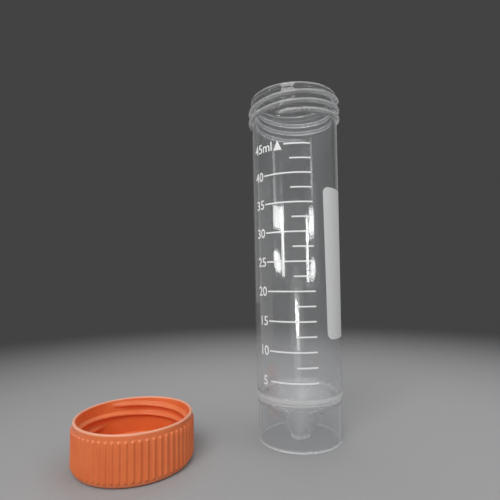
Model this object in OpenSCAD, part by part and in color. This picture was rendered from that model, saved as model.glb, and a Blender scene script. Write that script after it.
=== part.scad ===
// Skirted 50 ml conical tube with its screw cap taken off and set down beside it.
// Millimetres. The tube stands on its skirt: the origin is the centre of the
// skirt's foot and +Z runs up the axis to the mouth. Angles round the tube are
// azimuths: 0 faces -Y, and they grow towards +X.

/* [Tube] */
// Height of the tube, from the foot of the skirt to the rim
tube_h = 115; // [95:1:140]
// Diameter of the straight bore at the mouth
neck_bore_d = 26.8; // [22:0.1:33]
// Length of the straight bore, rim edge included
neck_bore_len = 15; // [12:0.5:20]
// Thickness of the neck and body wall
wall = 1.35; // [1.1:0.05:2]
// How much the wall's radius shrinks from the neck down to the cone
taper = 0.6; // [0.2:0.05:1]
// How far the smooth collar at the mouth stands out from the neck
collar_step = 0.2; // [0.1:0.05:0.4]
// Height of the smooth collar
collar_h = 1.6; // [1.2:0.1:2]
// Rounding of the rim's edges
rim_round = 0.4; // [0.2:0.05:0.5]

/* [Cone and skirt] */
// Height of the skirt, up to the step below the body
skirt_h = 14.2; // [12:0.1:18]
// How far the skirt's outside is set in from the body
skirt_step = 0.35; // [0.2:0.05:0.5]
// Thickness of the skirt's wall
skirt_wall = 1; // [0.8:0.05:1.4]
// Thickness of the cone's wall at its top, square to its slope
cone_wall = 1.1; // [0.9:0.05:1.6]
// Radius of the cone's outside where it turns into the tip
tip_r = 3.4; // [2.8:0.1:4.5]
// Radius of the small flat at the bottom of the cone's inside
in_tip_r = 0.9; // [0.6:0.1:2]
// Thickness of the tip's floor
tip_wall = 2; // [1:0.1:3]
// Height at which the cone turns into the tip
tip_top = 1.5; // [1.5:0.1:2.5]
// Rounding of the tip
tip_round = 0.8; // [0.5:0.1:0.9]
// Clearance between the tip and what the tube stands on
tip_clear = 0.2; // [0.1:0.1:0.5]

/* [Thread] */
// Distance between two neighbouring ridges of the two-start thread
thread_pitch = 3; // [2.5:0.1:3.6]
// Turns of each ridge of the tube's thread
thread_turns = 1.35; // [1:0.05:1.35]
// How far the thread stands out from the neck
thread_depth = 1.05; // [0.8:0.05:1.3]
// Width of a ridge at its root
thread_root_w = 1.7; // [1.4:0.1:2.2]
// Width of a ridge at its crest
thread_crest_w = 0.7; // [0.5:0.1:1.2]
// Distance from the rim down to the thread's upper end
thread_rim_gap = 0.9; // [0.7:0.1:3]
// Azimuth at which the first ridge starts; the second starts opposite
thread_azimuth = -38; // [-180:1:180]

/* [Cap] */
// How far the closed cap's wall reaches down past the tube's thread
cap_cover = 1.2; // [0.5:0.1:3]
// Thickness of the cap's closed end
cap_top = 1.6; // [1.3:0.1:2]
// Thickness of the cap's wall, ribs not counted
cap_wall = 0.9; // [0.8:0.05:1.5]
// Clearance all round between the tube's thread and the cap's wall
cap_gap = 0.25; // [0.2:0.05:0.4]
// Height of the sealing ring inside the cap
plug_h = 2; // [1.5:0.1:2.5]
// Thickness of the sealing ring
plug_wall = 1.2; // [0.8:0.1:1.5]
// Clearance all round between the sealing ring and the mouth
plug_gap = 0.15; // [0.05:0.05:0.3]
// Turns of each ridge of the cap's thread
cap_turns = 1; // [0.75:0.05:1]
// Number of grip ribs
rib_count = 60; // [40:2:80]
// Radius of a rib's round section
rib_r = 0.45; // [0.3:0.05:0.6]
// Height of the smooth lip at the open end
lip_h = 1.6; // [1:0.1:2.5]
// Rounding of the closed end's edge
cap_round = 1.2; // [0.5:0.1:1.3]
// Free space between the cap and the tube's thread where the cap lies
cap_apart = 19; // [5:1:40]
// How far in front of the tube's axis the cap lies
cap_forward = 10; // [0:1:30]
// Azimuth at which the cap's thread starts
cap_azimuth = -140; // [-180:5:180]

/* [Print] */
// Thickness of the print
ink = 0.1; // [0.05:0.01:0.2]
// Width of a graduation line
line_w = 0.45; // [0.3:0.05:0.7]
// Volume between two long lines, in millilitres
mark_ml = 5; // [5:5:10]
// Azimuth where the long lines start
long_from = -52; // [-60:1:-40]
// Azimuth where the short lines start
short_from = -16; // [-25:1:-5]
// Azimuth where all the lines end
lines_to = 10.5; // [5:0.5:20]
// Height of a digit
digit_h = 3; // [2.4:0.1:3.6]
// Width of a digit
digit_w = 2.1; // [1.6:0.1:2.4]
// Width of a digit's stroke
stroke = 0.5; // [0.35:0.05:0.6]
// Gap between two digits
digit_gap = 0.5; // [0.3:0.05:0.8]
// Lower edge of the writing patch above the foot
patch_z = 33.4; // [28:0.1:40]
// Height of the writing patch
patch_h = 48.2; // [30:0.1:58]
// Width of the writing patch, measured straight across
patch_w = 20; // [14:0.5:21]
// Azimuth of the middle of the writing patch
patch_azimuth = 70; // [60:1:180]
// Corner radius of the writing patch
patch_round = 2; // [1:0.1:4]

/* [Hidden] */
$fn = 96;

// The tube's section
bore_r = neck_bore_d / 2;
neck_r = bore_r + wall;
collar_r = neck_r + collar_step;
neck_z = tube_h - neck_bore_len;
low_in_r = bore_r - taper;
low_r = neck_r - taper;
skirt_r = low_r - skirt_step;
skirt_in_r = skirt_r - skirt_wall;
step_top = skirt_h + skirt_step;
foot_edge = 0.2;
cone_run = (skirt_in_r - tip_r) / (skirt_h - tip_top);
cone_half = atan(cone_run);
cone_lift = cone_wall / sin(cone_half);
cone_in_top = skirt_h + cone_lift + (low_in_r - skirt_in_r) / cone_run;
in_tip_z = tip_clear + tip_wall;

// The thread: what sinks into the wall keeps ridge and wall one solid
thread_starts = 2;
thread_lead = thread_starts * thread_pitch;
crest_r = neck_r + thread_depth;
sink = 0.45;
shoulder = 0.85 * thread_depth;
sunk_w = thread_crest_w + (thread_root_w - thread_crest_w) * (shoulder + sink) / shoulder;
thread_z = tube_h - thread_rim_gap - thread_root_w / 2 - thread_turns * thread_lead;
ring_step = 9;
run_out = 20;

// The cap's section: closed, it holds the whole thread with the rim against its inside
cap_h = cap_top + tube_h - thread_z + thread_root_w / 2 + cap_cover;
cap_in_r = crest_r + cap_gap;
cap_r = cap_in_r + cap_wall;
plug_r = bore_r - plug_gap;
plug_taper = 0.15;
lip_round = 0.5;
lead_in = 0.4;
cap_thread_gap = 0.8;
cap_thread_z = cap_h - cap_thread_gap - thread_root_w / 2 - cap_turns * thread_lead;
cap_x = -(crest_r + cap_apart + cap_r + rib_r);

// The print: a level follows from the volume that the inside holds below it
tip_volume = PI * (cone_in_top - in_tip_z) / 3
    * (pow(in_tip_r, 2) + in_tip_r * low_in_r + pow(low_in_r, 2));
mean_area = PI * pow(bore_r - taper / 2, 2);
low_area = PI * pow(low_in_r, 2);
first_z = cone_in_top + (mark_ml * 1000 - tip_volume) / low_area;
mark_dz = mark_ml * 1000 / mean_area;
print_low = step_top + 1;
print_high = min(neck_z, thread_z - thread_root_w / 2);
print_clear = 3;
mark_count = floor((print_high - print_clear - first_z) / mark_dz) + 1;
label_gap = 0.3;
last_from = -25.7;
last_label_to = -41.6;
pointer_azimuth = -33.9;
pointer_w = 2.8;
pointer_h = 3.3;
pointer_drop = 1.7;
m_w = 2.2;
digit_reach = 10;
patch_reach = asin(patch_w / 2 / low_r);

// Radius of the body's outside at height z
function body_r(z) = low_r + taper * (z - step_top) / (neck_z - step_top);

// Height of the nth long line, counted from 0
function mark_z(n) = first_z + n * mark_dz;

// Angle that a length spans round the body at height z
function span(length, z) = length / body_r(z) * 180 / PI;

// Points of an arc about [x, y], from angle a to angle b
function arc(x, y, r, a, b, n = 6) =
    [for (i = [0:n]) let (t = a + (b - a) * i / n) [x + r * cos(t), y + r * sin(t)]];

// Section of a thread ridge: distance out from the wall, and height about its middle
function ridge() = [
    [-sink, -sunk_w / 2],
    [shoulder, -thread_crest_w / 2],
    [thread_depth, -thread_crest_w / 4],
    [thread_depth, thread_crest_w / 4],
    [shoulder, thread_crest_w / 2],
    [-sink, sunk_w / 2]
];

// How much of its height the ridge has at angle t of a run of so many degrees
function grown(t, total) = max(0.4, min(1, t / run_out, (total - t) / run_out));

// A right-hand ridge on a wall of radius r. side is 1 on an outside, -1 on an inside.
module helix(r, side, turns) {
    total = turns * 360;
    count = round(total / ring_step);
    sides = len(ridge());
    points = [
        for (i = [0:count])
            let (t = total * i / count, g = grown(t, total))
                for (p = ridge())
                    let (out = p[0] > 0 ? p[0] * g : p[0], d = r + side * out)
                        [d * cos(t), d * sin(t), p[1] + thread_lead * t / 360]
    ];
    first = [for (k = [0:sides - 1]) k];
    last = [for (k = [0:sides - 1]) count * sides + k];
    walls = [
        for (i = [0:count - 1], k = [0:sides - 1])
            let (a = i * sides + k, b = i * sides + (k + 1) % sides)
                for (f = [[a, b, a + sides], [b, b + sides, a + sides]]) f
    ];
    mesh = concat([first], [[for (k = [sides - 1:-1:0]) last[k]]], walls);
    flipped = [for (f = mesh) [for (k = [len(f) - 1:-1:0]) f[k]]];
    polyhedron(points, side > 0 ? flipped : mesh);
}

// All ridges of a thread, evenly set round its axis
module thread(r, side, turns) {
    for (i = [0:thread_starts - 1])
        rotate([0, 0, i * 360 / thread_starts])
            helix(r, side, turns);
}

// Section of the whole moulding, from the tip's underside out, up and back down the inside
module tube_section() {
    round_z = tip_clear + tip_round;
    polygon(concat(
        [[0, tip_clear]],
        arc(tip_r - tip_round, round_z, tip_round, -90, 0),
        [[tip_r, tip_top]],
        [[skirt_in_r, skirt_h]],
        [[skirt_in_r, foot_edge], [skirt_in_r + foot_edge, 0], [skirt_r, 0]],
        [[skirt_r, skirt_h], [low_r, step_top], [neck_r, neck_z]],
        [[neck_r, tube_h - collar_h - collar_step], [collar_r, tube_h - collar_h]],
        arc(collar_r - rim_round, tube_h - rim_round, rim_round, 0, 90, 4),
        arc(bore_r + rim_round, tube_h - rim_round, rim_round, 90, 180, 4),
        [[bore_r, neck_z], [low_in_r, cone_in_top], [in_tip_r, in_tip_z], [0, in_tip_z]]
    ));
}

module tube() {
    color([0.86, 0.88, 0.89, 0.4]) union() {
        rotate_extrude() tube_section();
        translate([0, 0, thread_z])
            rotate([0, 0, thread_azimuth - 90])
                thread(neck_r, 1, thread_turns);
    }
}

// The thin shell over the body in which all print lies
module print_shell() {
    rotate_extrude() ink_section(print_low, print_high);
}

// Section of the ink on the body between two heights
module ink_section(low, high) {
    polygon([
        [body_r(low), low],
        [body_r(low) + ink, low],
        [body_r(high) + ink, high],
        [body_r(high), high]
    ]);
}

// A line round the body from one azimuth to another
module print_line(z, from, to) {
    rotate([0, 0, from - 90])
        rotate_extrude(angle = to - from)
            ink_section(z - line_w / 2, z + line_w / 2);
}

// A flat shape set against the body at an azimuth and height, cut to the print's thickness
module printed(azimuth, z, reach) {
    intersection() {
        print_shell();
        rotate([0, 0, azimuth])
            translate([0, -low_r * cos(reach) + 1, z])
                rotate([90, 0, 0])
                    linear_extrude(neck_r)
                        children();
    }
}

// A straight stroke between two points of a digit
module bar(x0, y0, x1, y1) {
    run = norm([x1 - x0, y1 - y0]);
    translate([x0, y0])
        rotate(atan2(y1 - y0, x1 - x0))
            translate([-stroke / 2, -stroke / 2])
                square([run + stroke, stroke]);
}

// A curved stroke about [x, y] from angle a to angle b
module bend(x, y, r, a, b) {
    outer = arc(x, y, r + stroke / 2, a, b, 8);
    inner = arc(x, y, r - stroke / 2, b, a, 8);
    polygon(concat(outer, inner));
}

// One sign, its lower left corner at the origin, drawn along its strokes' middles
module sign(c) {
    w = digit_w - stroke;
    h = digit_h - stroke;
    r = w / 2;
    translate([stroke / 2, stroke / 2]) {
        if (c == "0") {
            bend(r, r, r, 180, 360);
            bend(r, h - r, r, 0, 180);
            bar(0, r, 0, h - r);
            bar(w, r, w, h - r);
        }
        if (c == "1") {
            bar(w * 0.6, 0, w * 0.6, h);
            bar(w * 0.15, h * 0.78, w * 0.6, h);
        }
        if (c == "2") {
            bend(r, h - r, r, -30, 170);
            bar(r + r * cos(-30), h - r + r * sin(-30), 0, 0);
            bar(0, 0, w, 0);
        }
        if (c == "3") {
            top_r = h * 0.24;
            low_r = h / 2 - top_r;
            bend(r, h - top_r, top_r, -90, 150);
            bend(r, low_r, low_r, -150, 90);
        }
        if (c == "4") {
            bar(w * 0.75, 0, w * 0.75, h);
            bar(w * 0.75, h, 0, h * 0.3);
            bar(0, h * 0.3, w, h * 0.3);
        }
        if (c == "5") {
            bowl_r = h * 0.31;
            bar(w, h, w * 0.12, h);
            bar(w * 0.12, h, w * 0.05, h * 0.52);
            bend(r, bowl_r, bowl_r, -150, 140);
        }
        if (c == "m") {
            hump = (m_w - stroke) / 4;
            top = h * 0.72;
            for (x = [0, 2 * hump, 4 * hump])
                bar(x, 0, x, top - hump);
            for (x = [hump, 3 * hump])
                bend(x, top - hump, hump, 0, 180);
            bar(0, 0, 0, top);
        }
        if (c == "l")
            bar(0, 0, 0, h);
    }
}

// Width of one sign
function sign_w(c) = c == "m" ? m_w : c == "l" ? stroke : digit_w;

// Width of the signs of a label from the ith on, with the gap after each but the last
function label_w(label, i) =
    i >= len(label) ? 0
    : sign_w(label[i]) + (i < len(label) - 1 ? digit_gap : 0) + label_w(label, i + 1);

// A row of signs whose right end is at an azimuth, centred on a height
module print_label(label, to, z) {
    for (i = [0:len(label) - 1]) {
        middle = label_w(label, i) - sign_w(label[i]) / 2;
        printed(to - span(middle, z), z - digit_h / 2, digit_reach)
            translate([-sign_w(label[i]) / 2, 0])
                sign(label[i]);
    }
}

module graduation() {
    last = mark_count - 1;
    color("white") union() {
        for (n = [0:last]) {
            print_line(mark_z(n), n == last ? last_from : long_from, lines_to);
            volume = str((n + 1) * mark_ml);
            if (n < last)
                print_label(volume, long_from - span(label_gap, mark_z(n)), mark_z(n));
            else
                print_label(str(volume, "ml"), last_label_to, mark_z(n));
        }
        for (n = [0:last - 1])
            print_line(mark_z(n + 0.5), short_from, lines_to);
        printed(pointer_azimuth, mark_z(last) - pointer_drop, digit_reach)
            polygon([[-pointer_w / 2, 0], [pointer_w / 2, 0], [0, pointer_h]]);
    }
}

// A flat rectangle with round corners, its lower edge on the X axis and centred on the Y axis
module round_rectangle(w, h, r) {
    translate([-w / 2, r])
        square([w, h - 2 * r]);
    translate([-w / 2 + r, 0])
        square([w - 2 * r, h]);
    for (x = [-w / 2 + r, w / 2 - r], y = [r, h - r])
        translate([x, y])
            circle(r);
}

module writing_patch() {
    color("white")
        printed(patch_azimuth, patch_z, patch_reach)
            round_rectangle(patch_w, patch_h, patch_round);
}

// Section of the cap, which lies on its closed end
module cap_section() {
    ring_r = plug_r - plug_taper;
    ring_z = cap_top + plug_h;
    polygon(concat(
        [[0, 0]],
        arc(cap_r - cap_round, cap_round, cap_round, -90, 0),
        arc(cap_r - lip_round, cap_h - lip_round, lip_round, 0, 90, 4),
        [[cap_in_r + lead_in, cap_h], [cap_in_r, cap_h - lead_in]],
        [[cap_in_r, cap_top], [plug_r, cap_top], [ring_r, ring_z]],
        [[ring_r - plug_wall, ring_z], [plug_r - plug_wall, cap_top], [0, cap_top]]
    ));
}

module cap() {
    color([0.86, 0.36, 0.17]) translate([cap_x, -cap_forward, 0]) union() {
        rotate_extrude() cap_section();
        for (i = [0:rib_count - 1])
            rotate([0, 0, i * 360 / rib_count])
                translate([cap_r, 0, cap_round])
                    cylinder(r = rib_r, h = cap_h - lip_h - cap_round, $fn = 24);
        translate([0, 0, cap_thread_z])
            rotate([0, 0, cap_azimuth - 90])
                thread(cap_in_r, -1, cap_turns);
    }
}

tube();
graduation();
writing_patch();
cap();
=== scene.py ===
"""Skirted 50 ml conical tube of clear polypropylene, standing beside its orange screw cap.

Lengths are in millimetres until a mesh is made. Azimuths go round the tube, in degrees: 0 faces
-Y, and they grow towards +X. Outlines are (radius, height) points.
"""
import math

import bmesh
import bpy
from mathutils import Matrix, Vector


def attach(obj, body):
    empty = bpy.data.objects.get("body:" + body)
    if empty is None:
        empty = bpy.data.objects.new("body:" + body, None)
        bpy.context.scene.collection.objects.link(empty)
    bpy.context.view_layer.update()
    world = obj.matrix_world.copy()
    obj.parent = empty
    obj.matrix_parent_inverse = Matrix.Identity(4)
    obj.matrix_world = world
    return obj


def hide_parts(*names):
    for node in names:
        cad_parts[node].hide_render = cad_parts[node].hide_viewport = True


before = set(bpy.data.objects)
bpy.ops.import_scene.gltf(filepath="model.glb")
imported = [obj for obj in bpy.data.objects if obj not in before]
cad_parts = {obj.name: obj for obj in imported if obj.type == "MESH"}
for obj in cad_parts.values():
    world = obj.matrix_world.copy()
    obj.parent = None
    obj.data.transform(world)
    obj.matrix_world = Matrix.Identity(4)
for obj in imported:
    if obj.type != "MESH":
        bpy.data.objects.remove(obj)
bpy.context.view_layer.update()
MM = 0.001

# The tube, as the record's model has it
TUBE_H = 115.0
BORE_R = 13.4
NECK_R = 14.75
COLLAR_R = 14.95
COLLAR_LOW = 113.2
NECK_Z = 100.0
LOW_IN_R = 12.8
LOW_R = 14.15
SKIRT_R = 13.8
SKIRT_IN_R = 12.8
SKIRT_H = 14.2
STEP_TOP = 14.55
TIP_R = 3.4
TIP_TOP = 1.5
TIP_CLEAR = 0.2
CONE_IN_TOP = 16.05
IN_TIP_R = 0.9
IN_TIP_Z = 2.2

# The thread, on the neck and inside the cap
THREAD_STARTS = 2
PITCH = 3.0
RIDGE = 1.03
ROOT_W = 1.95
CREST_W = 0.4
RUN_OUT = 22.0
THREAD_Z = 105.15
THREAD_TURNS = 1.35
THREAD_AZIMUTH = -38.0

# The cap, lying on its closed end
CAP_AT = (-52.2, -10.0)
CAP_H = 13.5
CAP_R = 16.95
CAP_IN_R = 16.05
CAP_TOP = 1.6
PLUG_R = 13.25
PLUG_TAPER = 0.15
PLUG_TOP = 3.6
PLUG_WALL = 1.2
CAP_THREAD_Z = 5.85
CAP_TURNS = 1.0
CAP_AZIMUTH = -140.0
RIBS = 60
RIB_OUT = 0.45
RIB_W = 1.15
RIB_LOW = 1.2
RIB_HIGH = 11.9
RIB_END = 0.5
RIB_FLANK = 0.8

# The print
LINE_W = 0.45
FIRST_Z = 20.8
RISE = 9.275
MARKS = 9
ML_PER_MARK = 5
LONG_FROM = -52.0
SHORT_FROM = -16.0
LAST_FROM = -25.7
LINES_TO = 10.5
DIGIT_H = 3.0
DIGIT_BOLD = 0.012
LABEL_GAP = 0.5
FIRST_LABEL_IN = 1.0
LAST_LABEL_TO = -41.6
POINTER_AZIMUTH = -33.9
POINTER_HALF_W = 1.4
POINTER_DROP = 1.7
POINTER_H = 3.3
PATCH_Z = 33.4
PATCH_H = 48.2
PATCH_W = 20.0
PATCH_AZIMUTH = 70.0
PATCH_ROUND = 2.0
PRINT_LEAN = -0.07
LEAN_Z = 47.0
INK_LIFT = 0.008
INK = 0.035

# How finely things are cut: spans of heights with close rows, (low, high, spacing), the rows
# near corners and at the ends of the ribs, the steps round, and the strips of the print
NECK_ROWS = (103.9, 114.3, 0.12)
CAP_ROWS = (4.7, 12.9, 0.15)
FOOT_ROWS_TOP = 18.0
FOOT_ROW = 0.7
ROUND_STEPS = 6
ROUND_SHARE = 0.49
CORNER_ROW = 0.15
ROW_MARGIN = 0.002
STEEP = 0.9
LONG_WALL = 5
RIB_END_ROWS = 5
TUBE_STEPS = 240
STEPS_PER_RIB = 10
LINE_CUTS = (41, 3)
LABEL_STRIP = 0.35
PATCH_COLUMNS = 60
PATCH_ROWS = 24

# Distances that count as none: on the outlines and the labels in millimetres, in the mouldings and
# the ink in metres, and in the figures in the font's own units
TOUCHING = 0.01
LABEL_MERGE = 0.002
CUT_MERGE = 1e-5
MOULDING_MERGE = 2e-7
INK_MERGE = 1e-7
FIGURE_MERGE = 0.004
FIGURE_SLIVER = 1e-4

# The bend, in degrees, from which an edge of the ink is sharp, and the bound that keeps a sharp
# corner of a figure from running far out when it is thickened
SHARP = 40
LEAST_SPREAD = 0.3

# How much milk clouds the clear plastic, from 0 to 1
HAZE_LOW = 0.07
HAZE_HIGH = 0.02
MILKY_RIDGE = 0.65
MILKY_RIM = 0.95
MILKY_TIP = 0.6
MILKY_CONE = 0.6
MILKY_SHOULDER_IN = 0.4

# How far painted highlight pales the cap's orange, from 0 to 1
PAINTED_HIGHLIGHT_RIDGE = 0.15
PAINTED_HIGHLIGHT_DISC = 0.5
PAINTED_HIGHLIGHT_CORNER = 0.3


def ramp(value, low, high):
    """From 0 at low to 1 at high, smoothly."""
    t = max(0.0, min(1.0, (value - low) / (high - low)))
    return t * t * (3 - 2 * t)


def lean(z):
    """How far round, in degrees, the print has drifted at height z: it runs a little askew."""
    return PRINT_LEAN * (z - LEAN_Z)


def body_radius(z):
    """Radius of the body's outside at height z."""
    return LOW_R + (NECK_R - LOW_R) * (z - STEP_TOP) / (NECK_Z - STEP_TOP)


def share_of_turn(azimuth):
    """An azimuth as the share of a turn from +X, where a turned moulding starts."""
    return ((azimuth - 90) / 360) % 1.0


# ---------------------------------------------------------------- node helpers

def add(tree, kind, inputs=None, **settings):
    """A node of a tree, with its settings, and its inputs set or joined by name or number."""
    made = tree.nodes.new(kind)
    for name, value in settings.items():
        setattr(made, name, value)
    for name, value in (inputs or {}).items():
        join(tree, value, made.inputs[name])
    return made


def join(tree, value, socket):
    """Joins an output to a socket, or sets a plain value on it."""
    if isinstance(value, bpy.types.NodeSocket):
        tree.links.new(value, socket)
    else:
        socket.default_value = value


def calc(tree, operation, a, b=0.0, c=0.0):
    """One step of arithmetic, as an output."""
    return add(tree, "ShaderNodeMath", {0: a, 1: b, 2: c}, operation=operation).outputs[0]


def whole_calc(tree, operation, a, b):
    """One step of arithmetic on whole numbers, as an output."""
    return add(tree, "FunctionNodeIntegerMath", {0: a, 1: b}, operation=operation).outputs[0]


def eased(tree, value, top=1.0):
    """Rises smoothly from 0 to 1 while a value goes from 0 to the top."""
    return add(tree, "ShaderNodeMapRange", {"Value": value, "From Max": top},
               interpolation_type="SMOOTHSTEP").outputs[0]


def spot_at(tree, x, y, z):
    """A place from its three parts."""
    return add(tree, "ShaderNodeCombineXYZ", {0: x, 1: y, 2: z}).outputs[0]


def geometry_tree(name, sizes):
    """A Geometry Nodes tree with named inputs: the tree, its inputs and its output node."""
    tree = bpy.data.node_groups.new(name, "GeometryNodeTree")
    tree.interface.new_socket("Shape", in_out="INPUT", socket_type="NodeSocketGeometry")
    tree.interface.new_socket("Shape", in_out="OUTPUT", socket_type="NodeSocketGeometry")
    for label, value in sizes.items():
        kind = "NodeSocketInt" if isinstance(value, int) else "NodeSocketFloat"
        socket = tree.interface.new_socket(label, in_out="INPUT", socket_type=kind)
        socket.default_value = value
    tree.interface.new_socket("Finish", in_out="INPUT", socket_type="NodeSocketMaterial")
    return tree, tree.nodes.new("NodeGroupInput").outputs, tree.nodes.new("NodeGroupOutput")


def close_tree(tree, given, result, shape):
    """Ends a tree as a plain shape in its finish."""
    plain = add(tree, "GeometryNodeRealizeInstances", {"Geometry": shape}).outputs[0]
    done = add(tree, "GeometryNodeSetMaterial", {"Geometry": plain, "Material": given["Finish"]})
    join(tree, done.outputs[0], result.inputs["Shape"])


def make_piece(name, base, tree, sizes, finish):
    """Runs a tree on a base mesh and keeps the result as a plain mesh."""
    worker = bpy.data.objects.new(name + "_base", base)
    bpy.context.scene.collection.objects.link(worker)
    modifier = worker.modifiers.new("shape", "NODES")
    modifier.node_group = tree
    for item in tree.interface.items_tree:
        if item.item_type != "SOCKET" or item.in_out != "INPUT":
            continue
        if item.name == "Finish":
            modifier[item.identifier] = finish
        elif item.name in sizes:
            modifier[item.identifier] = sizes[item.name]
    worker.update_tag()
    bpy.context.view_layer.update()
    evaluated = worker.evaluated_get(bpy.context.evaluated_depsgraph_get())
    mesh = bpy.data.meshes.new_from_object(evaluated)
    mesh.name = name
    mesh.materials.clear()
    mesh.materials.append(finish)
    mesh.polygons.foreach_set("material_index", [0] * len(mesh.polygons))
    worker.modifiers.remove(modifier)
    bpy.data.objects.remove(worker)
    piece = bpy.data.objects.new(name, mesh)
    bpy.context.scene.collection.objects.link(piece)
    return piece


# ---------------------------------------------------------------- sections of the mouldings

def rounded(corners):
    """Points of an outline whose corners, (radius, height, rounding), are rounded off."""
    points = []
    for i, (r, z, rounding) in enumerate(corners):
        here = Vector((r, z))
        if rounding <= 0 or i in (0, len(corners) - 1):
            points.append(here)
            continue
        before = Vector(corners[i - 1][:2]) - here
        after = Vector(corners[i + 1][:2]) - here
        turn = math.pi - before.angle(after)
        reach = min(rounding * math.tan(turn / 2), before.length * ROUND_SHARE,
                    after.length * ROUND_SHARE)
        radius = reach / math.tan(turn / 2)
        a, b = before.normalized(), after.normalized()
        middle = here + (a + b).normalized() * (radius / math.cos(turn / 2))
        start, end = here + a * reach - middle, here + b * reach - middle
        for k in range(ROUND_STEPS + 1):
            t = k / ROUND_STEPS
            arm = (start * math.sin((1 - t) * turn) + end * math.sin(t * turn)) / math.sin(turn)
            points.append(middle + arm)
    return points


def with_rows(points, span=None, foot=0.0):
    """The outline with a point close to each end of its long stretches, and more where asked.

    The span, (low, high, spacing), is a range of heights where upright stretches get thread
    rows. Stretches that reach below the foot's height get even rows there.
    """
    rows = []
    for a, b in zip(points, points[1:]):
        length = (b - a).length
        stops = {0.0}
        if length > 4 * CORNER_ROW:
            stops |= {CORNER_ROW / length, 1 - CORNER_ROW / length}
        if span and abs(b.y - a.y) > STEEP * length and length > CORNER_ROW:
            low, high, spacing = span
            for k in range(int((high - low) / spacing) + 1):
                t = (low + k * spacing - a.y) / (b.y - a.y)
                if ROW_MARGIN < t < 1 - ROW_MARGIN:
                    stops.add(t)
        if min(a.y, b.y) < foot:
            count = math.ceil(length / FOOT_ROW)
            stops |= {k / count for k in range(1, count) if a.lerp(b, k / count).y < foot}
        rows += [a.lerp(b, t) for t in sorted(stops)]
    return rows + [points[-1]]


def outline_mesh(name, points, ridged, ribbed, milk_and_painted_highlight):
    """The outline as a line of points, each marked with its share of thread, ribs and milkiness,
    which on the cap is painted highlight.
    """
    mesh = bpy.data.meshes.new(name)
    edges = [(i, i + 1) for i in range(len(points) - 1)]
    mesh.from_pydata([(p.x * MM, 0, p.y * MM) for p in points], edges, [])
    for label, marked in (("thread_row", ridged), ("rib_row", ribbed), ("milk_and_painted_highlight_row", milk_and_painted_highlight)):
        values = [float(marked(p)) for p in points]
        mesh.attributes.new(label, "FLOAT", "POINT").data.foreach_set("value", values)
    return mesh


# ---------------------------------------------------------------- turning a section round its axis

TURNED_SIZES = {
    "Steps round": TUBE_STEPS,
    "Centre X": 0.0,
    "Centre Y": 0.0,
    "Side": 1.0,
    "Wall radius": NECK_R * MM,
    "Thread height": THREAD_Z * MM,
    "Thread starts": THREAD_STARTS,
    "Ridge spacing": PITCH * MM,
    "Thread turns": THREAD_TURNS,
    "Thread start": 0.0,
    "Thread depth": RIDGE * MM,
    "Root width": ROOT_W * MM,
    "Crest width": CREST_W * MM,
    "Run-out": RUN_OUT / 360,
    "Ridge milk and painted highlight": MILKY_RIDGE,
    "Ribs": 0,
    "Rib depth": 0.0,
    "Rib share": 0.5,
}


def thread_ridge(tree, given, share, radius, height):
    """How far the thread stands out of its wall at a point, before the outline's marks."""
    # Where this point lies beside the nearest ridge, and how far along that ridge. The 2 only
    # keeps the share above zero.
    past = calc(tree, "SUBTRACT", share, given["Thread start"])
    past = calc(tree, "FRACT", calc(tree, "ADD", past, 2.0))
    risen = calc(tree, "SUBTRACT", height, given["Thread height"])
    risen = calc(tree, "DIVIDE", risen, given["Ridge spacing"])
    gap = calc(tree, "SUBTRACT", risen, calc(tree, "MULTIPLY", past, given["Thread starts"]))
    nearest = calc(tree, "ROUND", gap)
    beside = calc(tree, "MULTIPLY", calc(tree, "SUBTRACT", gap, nearest), given["Ridge spacing"])
    beside = calc(tree, "ABSOLUTE", beside)
    along = calc(tree, "ADD", past, calc(tree, "DIVIDE", nearest, given["Thread starts"]))
    left = calc(tree, "SUBTRACT", given["Thread turns"], along)
    end = calc(tree, "DIVIDE", calc(tree, "MINIMUM", along, left), given["Run-out"])
    # Its section: a flat crest between two eased flanks, growing out of the wall at both ends
    root = calc(tree, "MULTIPLY", given["Root width"], 0.5)
    crest = calc(tree, "MULTIPLY", given["Crest width"], 0.5)
    flank = calc(tree, "SUBTRACT", root, beside)
    flank = calc(tree, "DIVIDE", flank, calc(tree, "SUBTRACT", root, crest))
    ridge = calc(tree, "MULTIPLY", eased(tree, flank), eased(tree, end))
    ridge = calc(tree, "MULTIPLY", ridge, given["Thread depth"])
    # Less what already stands out there, such as the collar
    stands = calc(tree, "SUBTRACT", radius, given["Wall radius"])
    stands = calc(tree, "MULTIPLY", stands, given["Side"])
    ridge = calc(tree, "MAXIMUM", calc(tree, "SUBTRACT", ridge, stands), 0.0)
    return calc(tree, "MULTIPLY", ridge, given["Side"])


def grip_rib(tree, given, share):
    """How far the ribs, evenly spaced round the wall, stand out at a point."""
    beat = calc(tree, "FRACT", calc(tree, "MULTIPLY", share, given["Ribs"]))
    off = calc(tree, "ABSOLUTE", calc(tree, "SUBTRACT", beat, 0.5))
    half = calc(tree, "MULTIPLY", given["Rib share"], 0.5)
    inside = calc(tree, "SUBTRACT", 1.0, calc(tree, "DIVIDE", off, half))
    return calc(tree, "MULTIPLY", eased(tree, inside, RIB_FLANK), given["Rib depth"])


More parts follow.
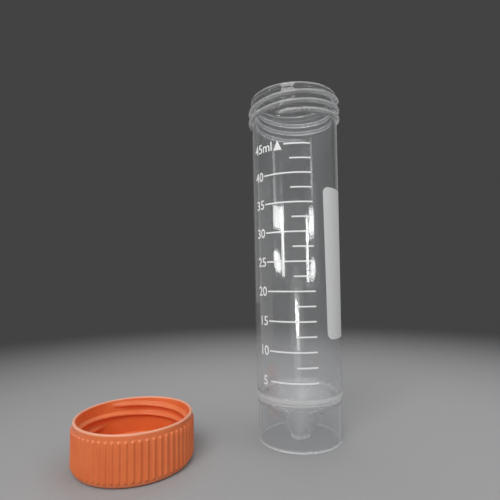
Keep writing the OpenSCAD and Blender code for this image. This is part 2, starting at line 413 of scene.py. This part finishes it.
def turned_moulding():
    """Turns an outline round the Z axis into a closed shell, with thread and ribs on its walls."""
    tree, given, result = geometry_tree("turned moulding", TURNED_SIZES)
    outline = given["Shape"]
    count = add(tree, "GeometryNodeAttributeDomainSize", {"Geometry": outline},
                component="MESH").outputs["Point Count"]
    columns = whole_calc(tree, "ADD", given["Steps round"], 1)
    sheet = add(tree, "GeometryNodeMeshGrid",
                {"Vertices X": count, "Vertices Y": columns}).outputs["Mesh"]
    index = tree.nodes.new("GeometryNodeInputIndex").outputs[0]
    row = whole_calc(tree, "DIVIDE_FLOOR", index, columns)
    column = whole_calc(tree, "MODULO", index, columns)

    def of_outline(value, kind="FLOAT"):
        """What a field says at the point of the outline that this row comes from."""
        return add(tree, "GeometryNodeSampleIndex",
                   {"Geometry": outline, "Value": value, "Index": row}, data_type=kind).outputs[0]

    def mark(label):
        """One of the outline's marks at this row."""
        return of_outline(add(tree, "GeometryNodeInputNamedAttribute", {"Name": label},
                              data_type="FLOAT").outputs[0])

    place = of_outline(tree.nodes.new("GeometryNodeInputPosition").outputs[0], "FLOAT_VECTOR")
    split = add(tree, "ShaderNodeSeparateXYZ", {0: place})
    radius, height = split.outputs["X"], split.outputs["Z"]
    share = calc(tree, "DIVIDE", column, given["Steps round"])
    ridge = thread_ridge(tree, given, share, radius, height)
    ridge = calc(tree, "MULTIPLY", ridge, mark("thread_row"))
    rib = calc(tree, "MULTIPLY", grip_rib(tree, given, share), mark("rib_row"))

    # Thick places look milkier: the ridges, fully so from half their height, and what is marked
    # On the cap the same channel carries painted highlight: paler ridges and marked rows
    thick = calc(tree, "DIVIDE", calc(tree, "ABSOLUTE", ridge), given["Thread depth"])
    thick = calc(tree, "MINIMUM", calc(tree, "MULTIPLY", thick, 2.0), 1.0)
    thick = calc(tree, "MULTIPLY", thick, given["Ridge milk and painted highlight"])
    milk_and_painted_highlight = calc(tree, "MAXIMUM", thick, mark("milk_and_painted_highlight_row"))
    marked = add(tree, "GeometryNodeStoreNamedAttribute",
                 {"Geometry": sheet, "Name": "milk_and_painted_highlight", "Value": milk_and_painted_highlight},
                 data_type="FLOAT", domain="POINT").outputs[0]

    radius = calc(tree, "ADD", calc(tree, "ADD", radius, ridge), rib)
    angle = calc(tree, "MULTIPLY", share, math.tau)
    x = calc(tree, "MULTIPLY", radius, calc(tree, "COSINE", angle))
    x = calc(tree, "ADD", x, given["Centre X"])
    y = calc(tree, "MULTIPLY", radius, calc(tree, "SINE", angle))
    y = calc(tree, "ADD", y, given["Centre Y"])
    bent = add(tree, "GeometryNodeSetPosition",
               {"Geometry": marked, "Position": spot_at(tree, x, y, height)}).outputs[0]
    outward = add(tree, "GeometryNodeFlipFaces", {"Mesh": bent}).outputs[0]
    whole = add(tree, "GeometryNodeMergeByDistance",
                {"Geometry": outward, "Distance": MOULDING_MERGE}).outputs[0]
    smooth = add(tree, "GeometryNodeSetShadeSmooth",
                 {"Geometry": whole, "Shade Smooth": True}).outputs[0]
    close_tree(tree, given, result, smooth)
    return tree


# ---------------------------------------------------------------- laying flat ink on the body

WRAP_SIZES = {
    "Lift": INK_LIFT * MM,
    "Ink thickness": INK * MM,
    "Low radius": LOW_R * MM,
    "Low height": STEP_TOP * MM,
    "Slope": (NECK_R - LOW_R) / (NECK_Z - STEP_TOP),
    "Lean": math.radians(PRINT_LEAN) / MM,
    "Lean height": LEAN_Z * MM,
}


def lay_on_body(tree, given, flat):
    """Thickens a flat print, X in radians round the body and Y up it, and lays it on the wall."""
    raised = add(tree, "GeometryNodeExtrudeMesh",
                 {"Mesh": flat, "Offset": (0.0, 0.0, 1.0), "Offset Scale": given["Ink thickness"],
                  "Individual": False}, mode="FACES").outputs["Mesh"]
    under = add(tree, "GeometryNodeFlipFaces", {"Mesh": flat}).outputs[0]
    both = tree.nodes.new("GeometryNodeJoinGeometry")
    join(tree, raised, both.inputs[0])
    join(tree, under, both.inputs[0])
    closed = add(tree, "GeometryNodeMergeByDistance",
                 {"Geometry": both.outputs[0], "Distance": INK_MERGE}).outputs[0]
    place = tree.nodes.new("GeometryNodeInputPosition").outputs[0]
    straight, height, out = add(tree, "ShaderNodeSeparateXYZ", {0: place}).outputs
    above = calc(tree, "SUBTRACT", height, given["Lean height"])
    azimuth = calc(tree, "MULTIPLY_ADD", above, given["Lean"], straight)
    above = calc(tree, "SUBTRACT", height, given["Low height"])
    wall = calc(tree, "MULTIPLY_ADD", above, given["Slope"], given["Low radius"])
    radius = calc(tree, "ADD", calc(tree, "ADD", wall, out), given["Lift"])
    x = calc(tree, "MULTIPLY", radius, calc(tree, "SINE", azimuth))
    back = calc(tree, "MULTIPLY", calc(tree, "COSINE", azimuth), -1.0)
    y = calc(tree, "MULTIPLY", radius, back)
    laid = add(tree, "GeometryNodeSetPosition",
               {"Geometry": closed, "Position": spot_at(tree, x, y, height)}).outputs[0]
    smooth = add(tree, "GeometryNodeSetShadeSmooth",
                 {"Geometry": laid, "Shade Smooth": True}).outputs[0]
    bend = tree.nodes.new("GeometryNodeInputMeshEdgeAngle").outputs[0]
    sharp = calc(tree, "GREATER_THAN", bend, math.radians(SHARP))
    return add(tree, "GeometryNodeSetShadeSmooth",
               {"Geometry": smooth, "Selection": sharp, "Shade Smooth": False},
               domain="EDGE").outputs[0]


def printed_sheet():
    """The tree that lays a flat sheet of ink on the body."""
    tree, given, result = geometry_tree("printed sheet", WRAP_SIZES)
    close_tree(tree, given, result, lay_on_body(tree, given, given["Shape"]))
    return tree


LAST_Z = FIRST_Z + (MARKS - 1) * RISE
RULED_SIZES = {
    **WRAP_SIZES,
    "First height": FIRST_Z * MM,
    "Rise": RISE * MM,
    "Marks": MARKS,
    "Line width": LINE_W * MM,
    "Long from": math.radians(LONG_FROM),
    "Short from": math.radians(SHORT_FROM),
    "Last from": math.radians(LAST_FROM - lean(LAST_Z)),
    "Lines to": math.radians(LINES_TO),
}


def ruled_scale():
    """The tree that rules the scale on the body.

    Long lines, short lines half way between them, and a top line that starts further in.
    """
    tree, given, result = geometry_tree("ruled scale", RULED_SIZES)
    lines = tree.nodes.new("GeometryNodeJoinGeometry")

    def ruled(count, first, start):
        """Adds a number of lines, evenly spaced from a first height, that start at an azimuth."""
        width = calc(tree, "SUBTRACT", given["Lines to"], start)
        middle = calc(tree, "ADD", start, calc(tree, "MULTIPLY", width, 0.5))
        strip = add(tree, "GeometryNodeMeshGrid",
                    {"Size X": width, "Size Y": given["Line width"],
                     "Vertices X": LINE_CUTS[0], "Vertices Y": LINE_CUTS[1]}).outputs["Mesh"]
        heights = add(tree, "GeometryNodeMeshLine",
                      {"Count": count, "Start Location": spot_at(tree, middle, first, 0.0),
                       "Offset": spot_at(tree, 0.0, given["Rise"], 0.0)}, mode="OFFSET").outputs[0]
        copies = add(tree, "GeometryNodeInstanceOnPoints",
                     {"Points": heights, "Instance": strip}).outputs[0]
        plain = add(tree, "GeometryNodeRealizeInstances", {"Geometry": copies}).outputs[0]
        join(tree, plain, lines.inputs[0])

    fewer = whole_calc(tree, "SUBTRACT", given["Marks"], 1)
    ruled(fewer, given["First height"], given["Long from"])
    half = calc(tree, "MULTIPLY_ADD", given["Rise"], 0.5, given["First height"])
    ruled(fewer, half, given["Short from"])
    last = calc(tree, "MULTIPLY_ADD", given["Rise"], fewer, given["First height"])
    ruled(1, last, given["Last from"])
    close_tree(tree, given, result, lay_on_body(tree, given, lines.outputs[0]))
    return tree


# ---------------------------------------------------------------- finishes

# Where nearly all of a noise lies
NOISE_LOW = 0.3
NOISE_HIGH = 0.7


def finish_tree(name):
    """A new material with an empty node tree and its output node."""
    material = bpy.data.materials.new(name)
    material.use_nodes = True
    tree = material.node_tree
    tree.nodes.clear()
    return material, tree, tree.nodes.new("ShaderNodeOutputMaterial")


def grain(tree, scale, detail=3.0, stretch=(1.0, 1.0, 1.0)):
    """Noise fixed to the piece, from 0 to 1. A stretch below 1 draws it out along that axis."""
    place = tree.nodes.new("ShaderNodeTexCoord").outputs["Object"]
    drawn = add(tree, "ShaderNodeMapping", {"Vector": place, "Scale": stretch}).outputs[0]
    return add(tree, "ShaderNodeTexNoise",
               {"Vector": drawn, "Scale": scale, "Detail": detail}).outputs["Fac"]


def spread(tree, noise, low, high):
    """The middle of a noise's range moved into another range."""
    return add(tree, "ShaderNodeMapRange",
               {"Value": noise, "From Min": NOISE_LOW, "From Max": NOISE_HIGH,
                "To Min": low, "To Max": high}).outputs[0]


def between(tree, share, a, b):
    """A colour between two others."""
    return add(tree, "ShaderNodeMix", {"Factor": share, "A": a, "B": b},
               data_type="RGBA").outputs["Result"]


def bump(tree, height, strength, distance, **inputs):
    """A normal that a height moves a little, for what is too fine to model."""
    return add(tree, "ShaderNodeBump",
               {"Height": height, "Strength": strength, "Distance": distance, **inputs}).outputs[0]


def surface(tree, share, a, b):
    """A surface between two others, by its share of the second."""
    return add(tree, "ShaderNodeMixShader", {0: share, 1: a, 2: b}).outputs[0]


def clear_plastic():
    """Clear polypropylene with drawn lines down its wall and an uneven gloss, milkier where thick.
    """
    material, tree, out = finish_tree("clear_polypropylene")
    flow = grain(tree, 90, 2.0, (1.0, 1.0, 0.06))
    cloud = grain(tree, 260)
    wave = grain(tree, 40, 1.0, (1.0, 1.0, 0.5))
    gloss = calc(tree, "ADD", spread(tree, flow, 0.02, 0.05), spread(tree, cloud, 0.0, 0.02))
    relief = bump(tree, wave, 0.045, 0.0002)
    relief = bump(tree, flow, 0.05, 0.00008, Normal=relief)
    clear = add(tree, "ShaderNodeBsdfPrincipled", {
        "Base Color": (0.90, 0.91, 0.915, 1.0), "Roughness": gloss, "IOR": 1.49,
        "Transmission Weight": 0.965, "Normal": relief}).outputs[0]
    milk = add(tree, "ShaderNodeBsdfPrincipled", {
        "Base Color": (0.94, 0.945, 0.95, 1.0), "Roughness": spread(tree, cloud, 0.18, 0.3),
        "IOR": 1.49, "Transmission Weight": 0.5, "Normal": relief}).outputs[0]
    milk_and_painted_highlight = add(tree, "ShaderNodeAttribute", attribute_name="milk_and_painted_highlight").outputs["Fac"]
    share = calc(tree, "MULTIPLY", milk_and_painted_highlight, spread(tree, flow, 0.85, 1.0))
    plastic = surface(tree, share, clear, milk)
    # Soft light and shadows pass straight through, as they nearly do through a thin wall
    through = add(tree, "ShaderNodeBsdfTransparent", {"Color": (0.82, 0.825, 0.83, 1.0)}).outputs[0]
    rays = tree.nodes.new("ShaderNodeLightPath").outputs
    lit = surface(tree, rays["Is Diffuse Ray"], plastic, through)
    join(tree, surface(tree, rays["Is Shadow Ray"], lit, through), out.inputs["Surface"])
    return material


def orange_plastic():
    """Satin orange polyethylene with a fine moulded grain, and a painted highlight that makes it a
    little paler on its raised edges and inner disc.
    """
    material, tree, out = finish_tree("orange_polyethylene")
    cloud = grain(tree, 120)
    fine = grain(tree, 2600, 2.0)
    colour = between(tree, spread(tree, cloud, 0.0, 1.0),
                     (0.77, 0.165, 0.043, 1.0), (0.83, 0.205, 0.058, 1.0))
    # Painted highlight: where the outline marks it, the orange pales towards a whitish orange,
    # broken up by the fine grain
    edge = add(tree, "ShaderNodeAttribute", attribute_name="milk_and_painted_highlight").outputs["Fac"]
    edge = calc(tree, "MULTIPLY", edge, spread(tree, fine, 0.5, 0.8))
    colour = between(tree, edge, colour, (0.80, 0.48, 0.34, 1.0))
    gloss = calc(tree, "ADD", spread(tree, cloud, 0.27, 0.36), spread(tree, fine, 0.0, 0.06))
    plastic = add(tree, "ShaderNodeBsdfPrincipled", {
        "Base Color": colour, "Roughness": gloss, "IOR": 1.5, "Subsurface Weight": 0.12,
        "Subsurface Radius": (1.0, 0.35, 0.12), "Subsurface Scale": 0.001,
        "Normal": bump(tree, fine, 0.12, 0.00004)})
    join(tree, plastic.outputs[0], out.inputs["Surface"])
    return material


def white_ink(name, thin, full):
    """Matt white ink of a full colour, with tiny pinholes of a thinner one."""
    material, tree, out = finish_tree(name)
    cloud = grain(tree, 900)
    fine = grain(tree, 5000, 2.0)
    tone = calc(tree, "MULTIPLY", spread(tree, cloud, 0.93, 1.0), spread(tree, fine, 0.97, 1.0))
    ink = add(tree, "ShaderNodeBsdfPrincipled", {
        "Base Color": between(tree, tone, (*thin, 1.0), (*full, 1.0)),
        "Roughness": spread(tree, cloud, 0.42, 0.58), "Normal": bump(tree, fine, 0.15, 0.00002)})
    join(tree, ink.outputs[0], out.inputs["Surface"])
    return material


CLEAR = clear_plastic()
ORANGE = orange_plastic()
LINE_INK = white_ink("white_line_ink", (0.62, 0.63, 0.64), (0.92, 0.925, 0.93))
PATCH_INK = white_ink("white_patch_ink", (0.48, 0.49, 0.50), (0.73, 0.735, 0.74))


# ---------------------------------------------------------------- the tube

TUBE_CORNERS = [
    (0, TIP_CLEAR, 0), (TIP_R, TIP_CLEAR, 0.8), (TIP_R, TIP_TOP, 0.7), (SKIRT_IN_R, SKIRT_H, 0.7),
    (SKIRT_IN_R, 0, 0.25), (SKIRT_R, 0, 0.25), (SKIRT_R, SKIRT_H, 0.12), (LOW_R, STEP_TOP, 0.2),
    (NECK_R, NECK_Z, 0), (NECK_R, COLLAR_LOW, 0.08), (COLLAR_R, COLLAR_LOW + 0.2, 0.15),
    (COLLAR_R, TUBE_H, 0.5), (BORE_R, TUBE_H, 0.5), (BORE_R, NECK_Z, 0),
    (LOW_IN_R, CONE_IN_TOP, 2.0), (IN_TIP_R, IN_TIP_Z, 0.7), (0, IN_TIP_Z, 0),
]


def on_neck(p):
    """Whether a point of the tube's outline carries the thread: only the outside of the neck."""
    return p.x > NECK_R - TOUCHING and NECK_Z + 1 < p.y < TUBE_H - 0.5


def no_ribs(p):
    """The share of ribs at a point of the tube's outline: none."""
    return 0.0


def tube_milkiness(p):
    """How much milk clouds the tube's wall at a point of its outline.

    A haze that thins upwards, and more at the rim, the cone's rim, the cone, the tip and the foot.
    """
    haze = HAZE_LOW + (HAZE_HIGH - HAZE_LOW) * ramp(p.y, SKIRT_H, NECK_Z)
    rim = MILKY_RIM * ramp(p.y, TUBE_H - 0.45, TUBE_H - 0.1)
    outward = ramp(p.x, LOW_IN_R + 0.2, SKIRT_R - 0.2)
    shoulder = MILKY_SHOULDER_IN + (1 - MILKY_SHOULDER_IN) * outward
    shoulder *= 1 - ramp(abs(p.y - SKIRT_H - 0.6), 0.9, 1.8)
    shoulder *= ramp(p.x, LOW_IN_R - 2.2, LOW_IN_R - 0.4)
    tip = MILKY_TIP * (1 - ramp(p.y, 1.2, 4.0)) * (1 - ramp(p.x, TIP_R + 0.6, TIP_R + 2.0))
    foot = (1 - ramp(p.y, 0.2, 0.7)) * ramp(p.x, SKIRT_IN_R - 0.6, SKIRT_IN_R - 0.1)
    cone = MILKY_CONE * (1 - ramp(p.y, SKIRT_H, SKIRT_H + 2))
    cone *= 1 - ramp(p.x, SKIRT_IN_R - 0.8, SKIRT_IN_R - 0.2)
    return max(haze, rim, shoulder, tip, foot, cone)


turning = turned_moulding()
tube_points = with_rows(rounded(TUBE_CORNERS), NECK_ROWS, FOOT_ROWS_TOP)
tube_line = outline_mesh("tube_outline", tube_points, on_neck, no_ribs, tube_milkiness)
tube = make_piece("tube_wall", tube_line, turning,
                  {"Thread start": share_of_turn(THREAD_AZIMUTH)}, CLEAR)
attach(tube, "tube")
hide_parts("tube")


# ---------------------------------------------------------------- the cap

CAP_CORNERS = [
    (0, 0, 0), (CAP_R, 0, 1.2), (CAP_R, CAP_H, 0.5), (CAP_IN_R, CAP_H, 0.42),
    (CAP_IN_R, CAP_TOP, 0.7), (PLUG_R, CAP_TOP, 0.35), (PLUG_R - PLUG_TAPER, PLUG_TOP, 0.4),
    (PLUG_R - PLUG_TAPER - PLUG_WALL, PLUG_TOP, 0.4), (PLUG_R - PLUG_WALL, CAP_TOP, 0.7),
    (0, CAP_TOP, 0),
]


def on_cap_inside(p):
    """Whether a point of the cap's outline carries the thread: only the inside of its wall."""
    return abs(p.x - CAP_IN_R) < TOUCHING and p.y > CAP_TOP + 0.7


def on_cap_outside(p):
    """The share of the ribs that a point of the cap's outline carries.

    They are on the outside only, and run out to nothing at both ends.
    """
    if p.x < CAP_R - TOUCHING:
        return 0.0
    return ramp(min(p.y - RIB_LOW, RIB_HIGH - p.y), 0.0, RIB_END)


def upright(a, b, radius):
    """Whether a stretch of the outline runs straight up a wall of a radius."""
    return abs(a.x - radius) < TOUCHING and abs(b.x - radius) < TOUCHING


def cap_outline():
    """The cap's outline, with rows where the thread and the ends of the ribs need them."""
    points = rounded(CAP_CORNERS)
    rows = []
    for a, b in zip(points, points[1:]):
        part, span = [a, b], None
        if upright(a, b, CAP_R) and b.y - a.y > LONG_WALL:
            steps = [RIB_END / RIB_END_ROWS * k for k in range(RIB_END_ROWS + 1)]
            heights = [RIB_LOW + step for step in steps[1:]]
            heights += [RIB_HIGH - step for step in reversed(steps)]
            part = [a] + [Vector((CAP_R, z)) for z in heights if a.y < z < b.y] + [b]
        elif upright(a, b, CAP_IN_R) and a.y - b.y > LONG_WALL:
            span = CAP_ROWS
        rows += with_rows(part, span)[:-1]
    return rows + [points[-1]]


def cap_painted_highlight(p):
    """How far painted highlight pales the cap's orange at a point of its outline.

    On the lip, on the disc inside, and on the corner of its closed end.
    """
    lip = ramp(p.y, CAP_H - 0.55, CAP_H - 0.1)
    disc = PAINTED_HIGHLIGHT_DISC * ramp(p.y, CAP_TOP - 0.2, CAP_TOP)
    disc *= (1 - ramp(p.y, CAP_TOP + 0.1, CAP_TOP + 0.6)) * (1 - ramp(p.x, 11.3, 12.1))
    corner = PAINTED_HIGHLIGHT_CORNER * (1 - ramp(abs(p.x - CAP_R + 0.35), 0.2, 0.6))
    corner *= 1 - ramp(p.y, 0.8, 1.4)
    return max(lip, disc, corner)


cap_line = outline_mesh("cap_outline", cap_outline(), on_cap_inside, on_cap_outside, cap_painted_highlight)
# The cap's paler ridges, lip, disc and corner are painted highlight, carried in the channel that
# holds the tube's milkiness
cap = make_piece("cap_shell", cap_line, turning, {
    "Steps round": RIBS * STEPS_PER_RIB,
    "Centre X": CAP_AT[0] * MM,
    "Centre Y": CAP_AT[1] * MM,
    "Side": -1.0,
    "Wall radius": CAP_IN_R * MM,
    "Thread height": CAP_THREAD_Z * MM,
    "Thread turns": CAP_TURNS,
    "Thread start": share_of_turn(CAP_AZIMUTH),
    "Ridge milk and painted highlight": PAINTED_HIGHLIGHT_RIDGE,
    "Ribs": RIBS,
    "Rib depth": RIB_OUT * MM,
    "Rib share": RIB_W / (math.tau * CAP_R / RIBS)}, ORANGE)
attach(cap, "cap")
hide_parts("cap")


# ---------------------------------------------------------------- the print

def sliced(shape, step):
    """Cuts a flat mesh into narrow upright strips, so that it can follow the wall."""
    xs = [v.co.x for v in shape.verts]
    x = math.floor(min(xs) / step) * step + step
    while x < max(xs):
        everything = shape.verts[:] + shape.edges[:] + shape.faces[:]
        bmesh.ops.bisect_plane(shape, geom=everything, plane_co=(x, 0, 0), plane_no=(1, 0, 0),
                               dist=CUT_MERGE)
        x += step


def thicken(shape, by):
    """Moves the outline of a flat mesh outwards, square to its edges, and fills it anew."""
    pushes = {}
    for v in shape.verts:
        sides = []
        for edge in v.link_edges:
            if edge.is_boundary:
                loop = edge.link_loops[0]
                along = (loop.link_loop_next.vert.co - loop.vert.co).normalized()
                sides.append(Vector((along.y, -along.x, 0)))
        if len(sides) == 2:
            spread_out = max(LEAST_SPREAD, 1 + sides[0].dot(sides[1]))
            pushes[v] = (sides[0] + sides[1]) * by / spread_out
    for v, push in pushes.items():
        v.co += push
    inner = [edge for edge in shape.edges if not edge.is_boundary]
    bmesh.ops.delete(shape, geom=shape.faces[:], context="FACES_ONLY")
    bmesh.ops.delete(shape, geom=inner, context="EDGES")
    bmesh.ops.triangle_fill(shape, use_beauty=True, edges=shape.edges[:])


def letters(text):
    """The flat mesh of some figures, in the font's own units, with its corner at the origin."""
    curve = bpy.data.curves.new("figures", "FONT")
    curve.body = text
    curve.resolution_u = 6
    holder = bpy.data.objects.new("figures", curve)
    bpy.context.scene.collection.objects.link(holder)
    bpy.context.view_layer.update()
    evaluated = holder.evaluated_get(bpy.context.evaluated_depsgraph_get())
    mesh = bpy.data.meshes.new_from_object(evaluated)
    bpy.data.objects.remove(holder)
    shape = bmesh.new()
    shape.from_mesh(mesh)
    bpy.data.meshes.remove(mesh)
    bmesh.ops.remove_doubles(shape, verts=shape.verts, dist=FIGURE_MERGE)
    bmesh.ops.dissolve_degenerate(shape, edges=shape.edges, dist=FIGURE_SLIVER)
    thicken(shape, DIGIT_BOLD)
    low_x = min(v.co.x for v in shape.verts)
    low_y = min(v.co.y for v in shape.verts)
    for v in shape.verts:
        v.co = (v.co.x - low_x, v.co.y - low_y, 0)
    return shape


def add_flat(sheet, shape, z):
    """Adds a flat shape in millimetres to the sheet, X turned into an angle round the body at z."""
    sliced(shape, LABEL_STRIP)
    bmesh.ops.remove_doubles(shape, verts=shape.verts, dist=LABEL_MERGE)
    bmesh.ops.dissolve_degenerate(shape, edges=shape.edges, dist=LABEL_MERGE)
    radius = body_radius(z)
    made = {v: sheet.verts.new((v.co.x / radius, v.co.y * MM, 0)) for v in shape.verts}
    for f in shape.faces:
        sheet.faces.new([made[v] for v in f.verts])
    shape.free()


def facing_out(sheet, name):
    """A plain mesh of the sheet with every face towards the outside."""
    for f in sheet.faces:
        f.normal_update()
    bmesh.ops.reverse_faces(sheet, faces=[f for f in sheet.faces if f.normal.z < 0])
    mesh = bpy.data.meshes.new(name)
    sheet.to_mesh(mesh)
    sheet.free()
    return mesh


DIGIT_SCALE = DIGIT_H / max(v.co.y for v in letters("5").verts)


def add_label(sheet, text, right_azimuth, z):
    """A label whose right end is at an azimuth, centred on a height."""
    shape = letters(text)
    wide = max(v.co.x for v in shape.verts)
    right = math.radians(right_azimuth) * body_radius(z)
    for v in shape.verts:
        v.co = ((v.co.x - wide) * DIGIT_SCALE + right, v.co.y * DIGIT_SCALE - DIGIT_H / 2 + z, 0)
    add_flat(sheet, shape, z)


def label_sheet():
    """The numbers beside the long lines, the last with its unit, and the top line's pointer."""
    sheet = bmesh.new()
    for n in range(MARKS - 1):
        z = FIRST_Z + n * RISE
        gap = LABEL_GAP + (FIRST_LABEL_IN if n == 0 else 0)
        right = LONG_FROM - math.degrees(gap / body_radius(z))
        add_label(sheet, str(ML_PER_MARK * (n + 1)), right, z)
    add_label(sheet, f"{ML_PER_MARK * MARKS}ml", LAST_LABEL_TO - lean(LAST_Z), LAST_Z)
    pointer = bmesh.new()
    at = math.radians(POINTER_AZIMUTH - lean(LAST_Z)) * body_radius(LAST_Z)
    low = LAST_Z - POINTER_DROP
    corners = ((at - POINTER_HALF_W, low, 0), (at + POINTER_HALF_W, low, 0),
               (at, low + POINTER_H, 0))
    pointer.faces.new([pointer.verts.new(corner) for corner in corners])
    add_flat(sheet, pointer, LAST_Z)
    return facing_out(sheet, "scale_numbers")


def patch_sheet():
    """The writing patch: a rectangle with round corners, its columns closer towards its sides."""
    sheet = bmesh.new()
    half_w, half_h = PATCH_W / 2, PATCH_H / 2
    middle = PATCH_Z + half_h
    columns = []
    for k in range(PATCH_COLUMNS + 1):
        x = half_w * math.sin((-1 + 2 * k / PATCH_COLUMNS) * math.pi / 2)
        inset = max(0.0, abs(x) - (half_w - PATCH_ROUND))
        tall = half_h - PATCH_ROUND + math.sqrt(max(0.0, PATCH_ROUND ** 2 - inset ** 2))
        azimuth = math.radians(PATCH_AZIMUTH) + math.asin(x / body_radius(middle))
        heights = [middle + tall * (2 * j / PATCH_ROWS - 1) for j in range(PATCH_ROWS + 1)]
        columns.append([sheet.verts.new((azimuth, z * MM, 0)) for z in heights])
    for a, b in zip(columns, columns[1:]):
        for j in range(PATCH_ROWS):
            sheet.faces.new((a[j], b[j], b[j + 1], a[j + 1]))
    return facing_out(sheet, "writing_patch_ink")


laying = printed_sheet()
lines = make_piece("scale_lines", bpy.data.meshes.new("no_lines"), ruled_scale(), {}, LINE_INK)
numbers = make_piece("scale_numbers", label_sheet(), laying, {}, LINE_INK)
patch = make_piece("writing_patch_ink", patch_sheet(), laying, {}, PATCH_INK)
for piece, node in ((lines, "graduation"), (numbers, "graduation"), (patch, "writing_patch")):
    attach(piece, "tube")
    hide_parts(node)


# ---------------------------------------------------------------- floor, light and camera

BACKDROP = (0.056, 0.056, 0.057, 1.0)
FLOOR_HALF = 2.0
FLOOR_Z = -0.00002


def floor_with_painted_light_pool():
    """A pale floor with a painted pool of light, that fades into the backdrop far from the tube."""
    material, tree, out = finish_tree("floor_with_painted_light_pool")
    place = tree.nodes.new("ShaderNodeTexCoord").outputs["Object"]
    far = add(tree, "ShaderNodeVectorMath", {0: place}, operation="LENGTH").outputs["Value"]
    # Painted pool of light: the floor thins out with distance, so the dark backdrop takes over away
    # from the tube
    painted_falloff = add(tree, "ShaderNodeMapRange", {"Value": far, "From Min": 0.06, "From Max": 0.32},
               interpolation_type="SMOOTHSTEP").outputs[0]
    matt = add(tree, "ShaderNodeBsdfPrincipled", {
        "Base Color": (0.34, 0.34, 0.345, 1.0), "Roughness": 0.9,
        "Specular IOR Level": 0.0}).outputs[0]
    open_air = tree.nodes.new("ShaderNodeBsdfTransparent").outputs[0]
    join(tree, surface(tree, painted_falloff, matt, open_air), out.inputs["Surface"])
    return material


floor_mesh = bpy.data.meshes.new("floor")
floor_corners = [(x * FLOOR_HALF, y * FLOOR_HALF, FLOOR_Z)
                 for x, y in ((-1, -1), (1, -1), (1, 1), (-1, 1))]
floor_mesh.from_pydata(floor_corners, [], [(0, 1, 2, 3)])
floor_mesh.materials.append(floor_with_painted_light_pool())
floor = bpy.data.objects.new("floor", floor_mesh)
bpy.context.scene.collection.objects.link(floor)

# The backdrop is what is seen, in the plastic too, and a soft white light is what lights
world = bpy.data.worlds.new("studio")
bpy.context.scene.world = world
world.use_nodes = True
air = world.node_tree
air.nodes.clear()
paths = air.nodes.new("ShaderNodeLightPath").outputs
seen = calc(air, "MAXIMUM", paths["Is Camera Ray"], paths["Is Transmission Ray"])
seen = calc(air, "MAXIMUM", seen, paths["Is Glossy Ray"])
backdrop = add(air, "ShaderNodeBackground", {"Color": BACKDROP, "Strength": 1.0}).outputs[0]
soft = add(air, "ShaderNodeBackground", {"Color": (1.0, 1.0, 1.0, 1.0),
                                         "Strength": 0.42}).outputs[0]
join(air, surface(air, seen, soft, backdrop),
     air.nodes.new("ShaderNodeOutputWorld").inputs["Surface"])


def lamp(name, at, towards, size, power, shape="RECTANGLE"):
    """A soft lamp of a width and height, in metres, and a power, in watts, that isn't seen."""
    data = bpy.data.lights.new(name, "AREA")
    data.shape = shape
    data.size, data.size_y = size
    data.energy = power
    made = bpy.data.objects.new(name, data)
    made.location = at
    made.rotation_euler = (Vector(towards) - Vector(at)).to_track_quat("-Z", "Y").to_euler()
    made.visible_camera = False
    made.visible_transmission = False
    bpy.context.scene.collection.objects.link(made)
    return made


lamp("key", (-0.24, -0.48, 0.58), (-0.01, 0, 0.04), (0.42, 0.42), 3.5)
lamp("fill", (0.42, -0.20, 0.62), (0, 0, 0.04), (0.40, 0.40), 0.8)
lamp("back", (0.05, 0.36, 0.66), (0, 0, 0.06), (0.50, 0.30), 0.55)

# Windows that only show as reflections in the plastic, and the bright ones through it too:
# place, width and height, brightness, shape, and a turn in degrees about their own middle
BRIGHT = 1.5
WINDOWS = {
    "left_strip": ((-0.444, -0.404, 0.111), (0.080, 0.127), 12, "RECTANGLE", 0),
    "left_high": ((-0.522, -0.295, 0.154), (0.273, 0.042), 11, "RECTANGLE", -2.5),
    "left_low": ((-0.540, -0.261, 0.075), (0.240, 0.037), 14, "ELLIPSE", -4),
    "right_strip": ((0.175, -0.574, 0.097), (0.050, 0.118), 12, "RECTANGLE", 0),
    "right_high": ((0.293, -0.524, 0.147), (0.131, 0.044), 10, "RECTANGLE", 0),
    "right_low": ((0.309, -0.514, 0.060), (0.125, 0.038), 8, "ELLIPSE", 0),
    "low_spot": ((-0.043, -0.165, 0.022), (0.020, 0.030), 12, "ELLIPSE", 35),
    "low_glow": ((-0.041, -0.165, 0.020), (0.030, 0.052), 2.5, "ELLIPSE", 30),
    "low_halo": ((-0.042, -0.165, 0.021), (0.110, 0.075), 0.9, "ELLIPSE", 0),
    "left_faint": ((-0.558, -0.219, 0.233), (0.055, 0.112), 3, "RECTANGLE", 0),
    "right_faint": ((0.316, -0.510, 0.246), (0.050, 0.096), 2, "RECTANGLE", 0),
    "left_side": ((-0.42, 0.50, 0.20), (0.45, 0.40), 0.35, "RECTANGLE", 0),
    "right_side": ((0.42, 0.50, 0.20), (0.45, 0.40), 0.3, "RECTANGLE", 0),
    "left_wide": ((-0.580, 0.154, 0.030), (0.55, 0.42), 0.9, "RECTANGLE", 0),
    "mid_glow": ((-0.161, -0.578, 0.104), (0.543, 0.165), 0.7, "RECTANGLE", 0),
    "low_band": ((-0.016, -0.058, 0.016), (0.017, 0.016), 1.2, "ELLIPSE", 0),
}
for name, (at, size, glow, shape, turn) in WINDOWS.items():
    area = size[0] * size[1] * (math.pi / 4 if shape == "ELLIPSE" else 1.0)
    window = lamp(name, at, (0, 0, at[2]), size, glow * math.pi * area, shape)
    window.rotation_euler.rotate_axis("Z", math.radians(turn))
    window.visible_diffuse = False
    window.visible_transmission = glow > BRIGHT

eye = bpy.data.cameras.new("eye")
eye.sensor_width = 36.0
eye.lens = 28.434
eye.clip_start, eye.clip_end = 0.005, 20.0
camera = bpy.data.objects.new("eye", eye)
camera.location = (-0.030325, -0.133364, 0.052879)
camera.rotation_euler = [math.radians(angle) for angle in (94.078, 0.744, -6.0685)]
bpy.context.scene.collection.objects.link(camera)
bpy.context.scene.camera = camera
bpy.context.scene.view_settings.view_transform = "Standard"
